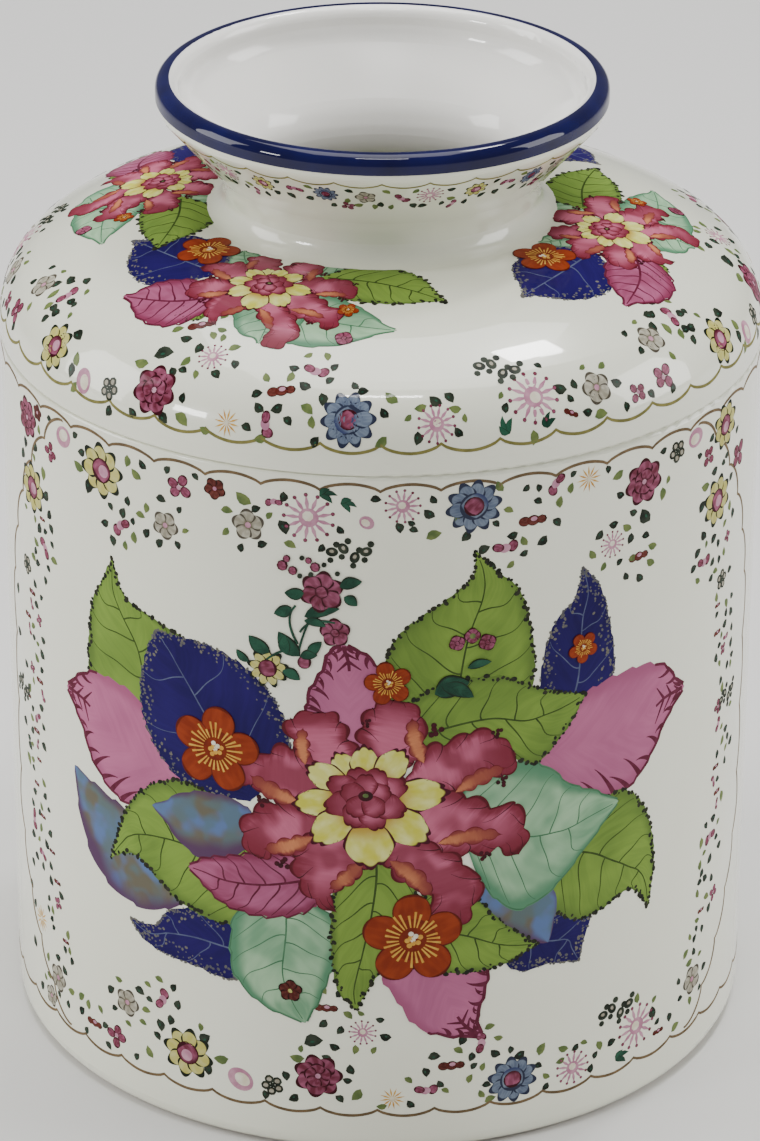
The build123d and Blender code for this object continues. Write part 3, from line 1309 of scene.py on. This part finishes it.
PANEL_BORDER = {
    yellow_flower: (
        (-100, 150, 6.5), (-70, 165.5, 7), (94, 150, 6.5), (-47, 20.5, 7), (97, 168, 6),
    ),
    blue_flower: ((21, 168, 6.6), (32.5, 17.5, 6.4)),
    pink_star: (
        (-16, 165.5, 5.8), (5, 169, 4), (56, 152, 3.2), (-3.5, 33.5, 3.2), (48.5, 16.5, 4.4),
        (68, 21, 5.8),
    ),
    orange_star: ((49, 170, 3.2), (3.5, 15.5, 3), (-102, 34, 3.4)),
    crimson_cluster: (
        (-47, 168, 3), (-90, 163, 2.4), (-69, 17, 3), (89, 163, 2.4), (106, 157, 3.4),
    ),
    crimson_bloom: ((65, 165, 5.8), (-14, 21, 6), (-102, 167, 5.2)),
    crimson_buds: (
        (-64, 153.5, 2.8), (40.5, 170.5, 2.6), (28.5, 157, 2.8), (-94, 137, 2.6),
        (88.5, 136.5, 2.6), (-54, 33, 2.8), (11.5, 17.5, 2.6), (24.5, 29, 2.6), (-24, 168.5, 1.9),
        (-105, 60, 2.6), (97, 60, 2.6),
    ),
    brown_bud: (
        (35, 162.5, 3.4), (17.5, 23.5, 3.2), (64, 146.5, 3), (-12, 39.5, 2.8), (-77, 17, 2.8),
        (76, 16, 2),
    ),
    grey_flower: (
        (-51, 157.5, 3.6), (-30, 162, 4), (-65, 28, 3.8), (-93, 22, 3.8), (90, 24, 4), (-97, 15, 3),
    ),
    ring_cluster: ((76, 169, 2.8), (-25, 17, 2.8), (98, 128, 2.6), (-105, 128, 2.6)),
    brown_cluster: ((-38, 169.5, 2.8), (-96, 170.5, 2.2)),
    black_sprig: ((-7, 157.5, 3.4), (61, 28, 3.6), (104, 95, 3.2), (-111, 93, 3.2)),
    teal_curl: ((-12, 171, 2.6), (-7.5, 169, 2.4), (63, 14, 2.8)),
    pale_round: ((-84, 169, 3), (83, 170, 2.8), (-33, 17, 3.4), (-3, 165, 1.8)),
    moss_leaf: (
        (-94, 156, 1.8), (-78, 164, 1.9), (-59, 168, 1.7), (-58, 158, 1.4), (-31, 168.5, 2.2),
        (12, 161.5, 1.9), (17, 166, 1.3), (27, 172.3, 1.5), (29, 166, 1.3), (33, 158, 1.4),
        (57, 169, 1.7), (71, 160, 1.7), (62, 147, 1.3), (88, 156, 1.8), (-59, 28, 1.4),
        (-38, 21.5, 2.0), (-58, 17, 1.7), (-19, 25.5, 1.8), (-7, 38, 1.4), (-5, 16.5, 1.9),
        (1, 13.5, 1.3), (19, 27.5, 1.4), (22, 19.5, 1.3), (27, 13, 1.5), (40, 24, 1.8),
        (45, 19.5, 1.3), (56, 20, 1.5), (83, 14, 1.7), (-82, 22, 1.6), (103, 68, 1.7),
        (-108, 75, 1.8),
    ),
    dark_leaf: (
        (-104, 160, 1.5), (-93, 151, 1.7), (-97, 141, 1.6), (-98, 131, 1.3), (-90, 171, 1.2),
        (-79, 171, 1.2), (-77, 168, 1.4), (-75, 160, 1.9), (-63, 157, 1.5), (-61.5, 160.5, 1.3),
        (-57, 171, 1.4), (-56, 154, 1.4), (-50, 171.3, 1.2), (-43, 171.3, 1.1), (-28, 166, 1.3),
        (-22, 162.5, 1.9), (-22, 170, 1.4), (-1, 170.5, 1.3), (4, 163.7, 1.4), (7, 165, 1.0),
        (12, 170.5, 1.2), (19, 161, 1.5), (26, 163, 1.1), (30, 160, 1.4), (36, 167, 1.2),
        (33, 171, 1.1), (45, 172, 1.0), (54, 171, 1.1), (58, 164, 1.3), (61, 152, 1.4),
        (66, 156.5, 2.3), (62, 158.5, 1.3), (66, 151, 1.3), (71, 171, 1.2), (90, 167.5, 1.3),
        (85, 165, 1.1), (87, 151, 1.7), (92, 158.5, 1.5), (93, 140.5, 1.5), (95, 138.5, 1.2),
        (92, 131, 1.2), (103, 143, 1.4), (-93, 28, 1.4), (-88, 17, 1.2), (-80, 13.5, 1.2),
        (-72, 13, 1.3), (-61, 32.5, 1.6), (-52, 28, 1.5), (-55, 25.5, 1.7), (-42, 25.5, 1.9),
        (-41, 17.5, 1.6), (-62, 14, 1.2), (-27, 14, 1.3), (-22, 20, 1.4), (-20, 14.5, 1.5),
        (-15, 30, 2.4), (-12, 26.5, 1.2), (-10, 29.5, 1.4), (-13, 35.5, 1.4), (-9, 34, 1.3),
        (-7, 20.5, 1.2), (-9, 15, 1.3), (8, 14, 1.3), (15, 19, 1.2), (22, 25.5, 1.3), (26, 17, 1.2),
        (34, 24, 1.6), (39, 19.5, 1.2), (41, 13.5, 1.2), (49, 22, 1.2), (54, 14.5, 1.3),
        (74, 22.5, 1.8), (80, 18, 1.4), (97, 54, 1.5), (95, 50, 1.4), (99, 48, 1.3), (98, 40, 1.4),
        (94, 36, 1.2), (105, 117, 1.5), (106, 108, 1.4), (108, 81, 1.5), (-106, 55, 1.5),
        (-104, 50, 1.4), (-107, 47, 1.3), (-109, 40, 1.4), (-106, 36, 1.3), (-107, 25, 1.6),
        (-113, 118, 1.6), (-113, 107, 1.5), (-110, 84, 1.5),
    ),
}

CHAIN = (
    dark_leaf,
    crimson_buds,
    dark_leaf,
    moss_leaf,
    dark_leaf,
    brown_bud,
    dark_leaf,
    crimson_cluster,
    moss_leaf,
)
CHAIN_SPOTS = 150


def side_chains(motifs):
    """The panel's motifs, with a dense chain of leaves and buds added down each side."""
    taken = [spot for places in motifs.values() for spot in places]
    added = {motif: [] for motif in CHAIN}
    for sign in (1, -1):
        for number in range(CHAIN_SPOTS):
            y = 30 + 122 * number / CHAIN_SPOTS
            x = sign * (86 + 17 * sin(pi * (y - 15) / 155) + BRUSH.uniform(-6, 5))
            motif = CHAIN[number % len(CHAIN)]
            wide = 1.0 if motif in (dark_leaf, moss_leaf) else 1.35
            spot = (x, y, wide * BRUSH.uniform(1.0, 1.5))
            if is_free(taken, spot):
                taken.append(spot)
                added[motif].append(spot)
    return joined(motifs, added)


def panel_border():
    design = Design(BORDER)
    inside = lambda x, y, size: 14.5 < y < 170.5 and abs(x) < 108
    scatter(design, side_chains(leaves_about(PANEL_BORDER, inside)))
    return design


def along_ring(reach, y):
    return lambda t: Vector(((t - 0.5) * 2 * reach, y))


PANEL_SIDE = ((84, 173), (108, 155), (116, 120), (116, 60), (107, 28), (87, 11.8))


def panel_side(sign):
    """The line down one side of a panel: in from the top, down the side, and in at the bottom."""
    points = [Vector((sign * x, y)) for x, y in PANEL_SIDE]

    def curve(t):
        if t < 0.4:
            t = t / 0.4
            return points[0] * (1 - t) ** 2 + points[1] * 2 * t * (1 - t) + points[2] * t * t
        if t < 0.65:
            t = (t - 0.4) / 0.25
            return points[2] * (1 - t) + points[3] * t
        t = (t - 0.65) / 0.35
        return points[3] * (1 - t) ** 2 + points[4] * 2 * t * (1 - t) + points[5] * t * t

    return curve


RING_SCALLOPS = 42
SIDE_SCALLOPS = 13
SCALLOP_STEPS = 12  # faces along each scallop
SCALLOP_DEPTH = 1.7
TOP_LINE = 172.6  # the heights of the lines round the body's top and foot
FOOT_LINE = 12.4
LINE_WIDTH = 0.75
LINES = {"lines": ("umber", "olive")}
HALF_ROUND = pi * BODY_RADIUS


def body_lines():
    """Brown scalloped lines: round the top, round the foot, and down the sides of the panels."""
    rings = Design(LINES)
    steps = RING_SCALLOPS * SCALLOP_STEPS
    for height, bulge in ((TOP_LINE, SCALLOP_DEPTH), (FOOT_LINE, -SCALLOP_DEPTH)):
        ring = along_ring(HALF_ROUND, height)
        rings.line("umber", ring, LINE_WIDTH, 0, RING_SCALLOPS, bulge, steps)
    lay_on(rings, "body_edges", (on_body,), "jar")
    sides = Design(LINES)
    steps = SIDE_SCALLOPS * SCALLOP_STEPS
    for sign in (1, -1):
        bulge = SCALLOP_DEPTH * sign
        sides.line("umber", panel_side(sign), LINE_WIDTH, 0, SIDE_SCALLOPS, bulge, steps)
    lay_on(sides, "panel_sides", (on_body, shifted(on_body, HALF_ROUND)), "jar")


# ---------------------------------------------------------------- the dome

DOME_BORDER = {
    yellow_flower: ((-78, -49, 6),),
    blue_flower: ((-7.5, -91.5, 6.6),),
    pink_star: ((-38, -71, 3.4), (13, -92, 4.4), (35, -82, 6)),
    orange_star: ((-36.5, -88, 3.2),),
    crimson_cluster: ((67, -64, 3.0), (61, -71.5, 2.4)),
    crimson_bloom: ((-53, -75, 6),),
    crimson_buds: ((-73, -35, 2.8), (-27, -90.5, 2.8), (-14.5, -79, 2.8)),
    brown_bud: ((-40.5, -60.5, 3.2), (-22.5, -83.5, 3.3), (45, -83, 2)),
    grey_flower: ((50, -75, 4), (62, -56, 3.8)),
    ring_cluster: ((-65, -69, 2.8),),
    black_sprig: ((26, -76.5, 3.6),),
    teal_curl: ((30, -90, 2.8), (40, -86.5, 2.4)),
    pale_round: ((-72, -63, 3),),
    moss_leaf: (
        (-72, -57, 1.8), (-76, -62, 1.7), (-55, -67, 2.0), (-38, -64.5, 1.4), (-44.5, -70.5, 1.6),
        (-48, -84, 2.2), (-42.5, -88, 1.5), (-29, -93, 1.7), (-20.5, -80, 1.5), (-17, -88.5, 1.8),
        (2.5, -86.5, 1.9), (0, -96.5, 1.8), (9, -88.5, 1.5), (17, -88, 1.5), (37, -91, 1.8),
        (53, -80.5, 1.9), (66, -51, 1.6),
    ),
    dark_leaf: (
        (-71, -51, 1.9), (-75, -58, 1.8), (-76, -39, 1.7), (-79.5, -39, 1.4), (-76, -28.5, 1.6),
        (-68, -73, 1.6), (-60.5, -77, 1.5), (-49.5, -67, 2.5), (-44, -63.5, 1.6),
        (-41.5, -67.5, 1.6), (-48, -72.5, 1.4), (-46, -79.5, 1.3), (-53, -82, 1.7),
        (-32, -90.3, 1.4), (-24, -87, 1.6), (-17, -82.5, 1.6), (-13.5, -86.5, 1.6),
        (-4, -85.3, 1.4), (1, -90, 1.4), (-15.5, -96, 1.5), (12.5, -86.5, 1.7), (8.5, -95.5, 1.6),
        (18.5, -93, 1.4), (29, -86, 1.3), (41, -78, 1.8), (49, -81, 1.4), (65, -70, 1.4),
        (59, -76, 1.3), (70.5, -65, 1.4), (61.5, -48.5, 1.7), (69.5, -43.5, 1.6), (71, -48, 1.6),
    ),
}


def dome_border():
    """A third of the dome's border, from one yellow flower to just short of the next."""
    design = Design(BORDER)
    scatter(design, leaves_about(DOME_BORDER, lambda x, y, size: hypot(x, y) + size < 95.5))
    return design


DOME_PEONY = 0.58  # its size beside the body's


def dome_bouquet():
    """One of the dome's bouquets, drawn about its peony with the neck above it."""
    design = Design(BOUQUET)
    leaf(design, "celadon", *leaf_edges((-4, 4), (-13, 13), 4.5, 0.1, 0.5), 5)
    leaf(design, "blue", *leaf_edges((-12, 0), (-41, 9.5), 11.5, 0.02, 0.45), 11, 0.9)
    leaf(design, "celadon", *leaf_edges((6, 6), (16, 13), 5.5, 0.1, 0.5), 5)
    leaf(design, "celadon", *leaf_edges((2, -6), (35.5, -3), 9.5, -0.10, 0.42), 7)
    leaf(design, "celadon", *leaf_edges((2, -3), (9.5, -20), 8.5, 0.10, 0.5), 6)
    leaf(design, "green", *leaf_edges((10, 8), (40, 12), 9.5, 0.06, 0.40), 14)
    leaf(design, "green", *leaf_edges((-8, -10), (-14, -17), 4.0, 0.1, 0.5), 5)
    leaf(design, "rose", *leaf_edges((-6, -8), (-30.5, -12.5), 8.5, 0.10, 0.46), 8, 0.9)
    design.settle()
    paint_peony(design, Vector((1, 0)), DOME_PEONY)
    orange_flower(design, -20.5, 9.5, 7.6, 0.3)
    orange_flower(design, 22.5, -2, 2.6, 0.3)
    design.move_to(26.5, -11)
    blossom(design, "ruby", 2.2, 4, 1.1, "ruby", 0.3)
    design.move_to()
    return design


BOUQUET_TURNS = (-107, -29, 74, 163)  # degrees round from the front
BOUQUET_REACH = 54.0
DOME_LINE = 98.5 - 1.2


def ring_line(reach):
    return lambda t: Vector((reach * sin(2 * pi * t + pi), -reach * cos(2 * pi * t + pi)))


def paint_dome():
    lines = Design(LINES)
    steps = RING_SCALLOPS * SCALLOP_STEPS
    lines.line("olive", ring_line(DOME_LINE), LINE_WIDTH, 0, RING_SCALLOPS, -2.0, steps)
    lay_on(lines, "dome", (on_dome,), "cover")
    thirds = [turned(on_dome, radians(120 * number)) for number in range(3)]
    lay_on(dome_border(), "dome", thirds, "cover")
    places = [turned(on_dome, radians(angle), BOUQUET_REACH) for angle in BOUQUET_TURNS]
    lay_on(dome_bouquet(), "dome_bouquets", places, "cover")


# ---------------------------------------------------------------- the neck

NECK_REPEATS = 6
NECK_SCALLOPS = 30
NECK_MOTIFS = {
    crimson_buds: ((-22, -6.5, 2.2), (5, -8.0, 2.3), (19, -12.5, 1.8)),
    blue_flower: ((-14, -7.0, 3.3),),
    pink_star: ((12, -7.0, 3.3),),
    yellow_flower: ((24, -7.0, 3.2),),
    grey_flower: ((-4, -7.5, 2.8),),
    crimson_cluster: ((-9, -12.0, 1.8),),
    moss_leaf: (
        (-18, -4.8, 1.3), (1, -4.8, 1.3), (8, -4.6, 1.2), (18, -9.5, 1.4), (-9, -9.5, 1.3),
        (-2, -12, 1.3),
    ),
    dark_leaf: (
        (-26, -4.8, 1.1), (-19, -9.8, 1.4), (-8, -5.0, 1.2), (0, -10.8, 1.3), (17, -5.0, 1.2),
        (27, -10.5, 1.3), (8, -11.8, 1.4), (-13, -12.0, 1.2),
    ),
}


def paint_neck():
    lines = Design(LINES)
    ring = along_ring(pi * RIM_RADIUS, -1.2)
    lines.line("olive", ring, 0.6, 0, NECK_SCALLOPS, -1.8, NECK_SCALLOPS * SCALLOP_STEPS)
    lay_on(lines, "neck", (on_neck,), "cover")
    flowers = Design(BORDER)
    inside = lambda x, y, size: -13.5 < y < -4.2 and abs(x) < 26
    scatter(flowers, leaves_about(NECK_MOTIFS, inside))
    step = 2 * pi * RIM_RADIUS / NECK_REPEATS
    places = [shifted(on_neck, number * step) for number in range(NECK_REPEATS)]
    lay_on(flowers, "neck", places, "cover")


BAND_RISE = 0.11  # how far the lip's band stands out
BAND_WALL = 0.2
BAND_HEIGHT = 4.4
LIP_STEPS = 10
LIP_STEP = radians(10.5)


def make_lip_band():
    """The cobalt band over the crest and the outer face of the lip."""
    outer = RIM_RADIUS + BAND_RISE
    centre, middle = RIM_RADIUS - LIP_ROUND, TOP - LIP_ROUND
    points = [(outer, TOP - BAND_HEIGHT), (outer, middle)]
    for step in range(1, LIP_STEPS + 1):
        turn = LIP_STEP * step
        reach = LIP_ROUND + BAND_RISE
        points.append((centre + reach * cos(turn), middle + reach * sin(turn)))
    mesh = bmesh.new()
    verts = [mesh.verts.new((r * MM, 0, z * MM)) for r, z in points]
    edges = [mesh.edges.new(pair) for pair in zip(verts, verts[1:])]
    about = dict(cent=(0, 0, 0), axis=(0, 0, 1), angle=2 * pi, steps=180, use_merge=True)
    bmesh.ops.spin(mesh, geom=verts + edges, **about)
    bmesh.ops.recalc_face_normals(mesh, faces=mesh.faces)
    bmesh.ops.solidify(mesh, geom=mesh.faces[:], thickness=BAND_WALL * MM)
    make_piece("lip_band", mesh, ("lip_blue",), "cover")


# ---------------------------------------------------------------- the scene


def finish_porcelain():
    for node, bare_foot in (("jar_body", True), ("dome_cover", False)):
        material = porcelain(f"{node} glaze", bare_foot)
        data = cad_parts[node].data
        data.materials.clear()
        data.materials.append(material)


FLOOR_REACH = 4.0


def make_floor():
    mesh = bmesh.new()
    bmesh.ops.create_grid(mesh, x_segments=1, y_segments=1, size=FLOOR_REACH)
    data = bpy.data.meshes.new("floor")
    mesh.to_mesh(data)
    mesh.free()
    floor = bpy.data.objects.new("floor", data)
    bpy.context.scene.collection.objects.link(floor)
    pale = bpy.data.materials.new("pale floor")
    pale.use_nodes = True
    shader = pale.node_tree.nodes["Principled BSDF"]
    shader.inputs["Base Color"].default_value = (0.72, 0.71, 0.69, 1.0)
    shader.inputs["Roughness"].default_value = 0.9
    data.materials.append(pale)


LIGHTS = (  # place, width and height in metres, and watts
    ("left softbox", (-1.7, 0.0, 0.7), (0.8, 1.2), 20),
    ("right softbox", (1.7, -0.1, 0.7), (0.8, 1.2), 20),
    ("overhead", (0, 0.4, 2.2), (1.6, 1.6), 38),
    ("small window", (0.51, 0.49, 1.62), (0.16, 0.24), 7),
    ("long window", (0.0, -0.60, 1.75), (0.50, 0.08), 6),
    ("low window", (-1.35, -0.91, 0.60), (0.30, 0.20), 7),
)
AIM = (0, 0, 0.12)


def add_light(name, place, size, power):
    """A soft rectangular light, aimed at the middle of the jar."""
    data = bpy.data.lights.new(name, "AREA")
    data.shape = "RECTANGLE"
    data.size, data.size_y = size
    data.energy = power
    light = bpy.data.objects.new(name, data)
    light.location = place
    light.rotation_euler = (Vector(AIM) - Vector(place)).to_track_quat("-Z", "Y").to_euler()
    bpy.context.scene.collection.objects.link(light)


def light_studio():
    for light in LIGHTS:
        add_light(*light)
    world = bpy.data.worlds.new("studio")
    world.use_nodes = True
    background = world.node_tree.nodes["Background"]
    background.inputs["Color"].default_value = (0.96, 0.97, 1.0, 1.0)
    background.inputs["Strength"].default_value = 0.28
    bpy.context.scene.world = world


CAMERA_PLACE = (0.0, -1.0814, 0.6348)
CAMERA_TILT = radians(90 - 25.905)
CAMERA_ROLL = 0.005
LENS = 156.3
SENSOR = 36.0


def set_camera():
    data = bpy.data.cameras.new("camera")
    data.lens = LENS
    data.sensor_width = SENSOR
    camera = bpy.data.objects.new("camera", data)
    camera.location = CAMERA_PLACE
    tilt = Matrix.Rotation(CAMERA_TILT, 3, "X") @ Matrix.Rotation(CAMERA_ROLL, 3, "Z")
    camera.rotation_euler = tilt.to_euler()
    bpy.context.scene.collection.objects.link(camera)
    bpy.context.scene.camera = camera


def paint_body():
    bouquet = body_bouquet()
    border = panel_border()
    for number in range(2):
        surface = shifted(on_body, number * HALF_ROUND)
        lay_on(bouquet, f"bouquet_{number + 1}", (surface,), "jar")
        lay_on(border, f"panel_{number + 1}", (surface,), "jar")
    body_lines()


set_camera()
finish_porcelain()
paint_body()
paint_dome()
paint_neck()
make_lip_band()
make_floor()
light_studio()
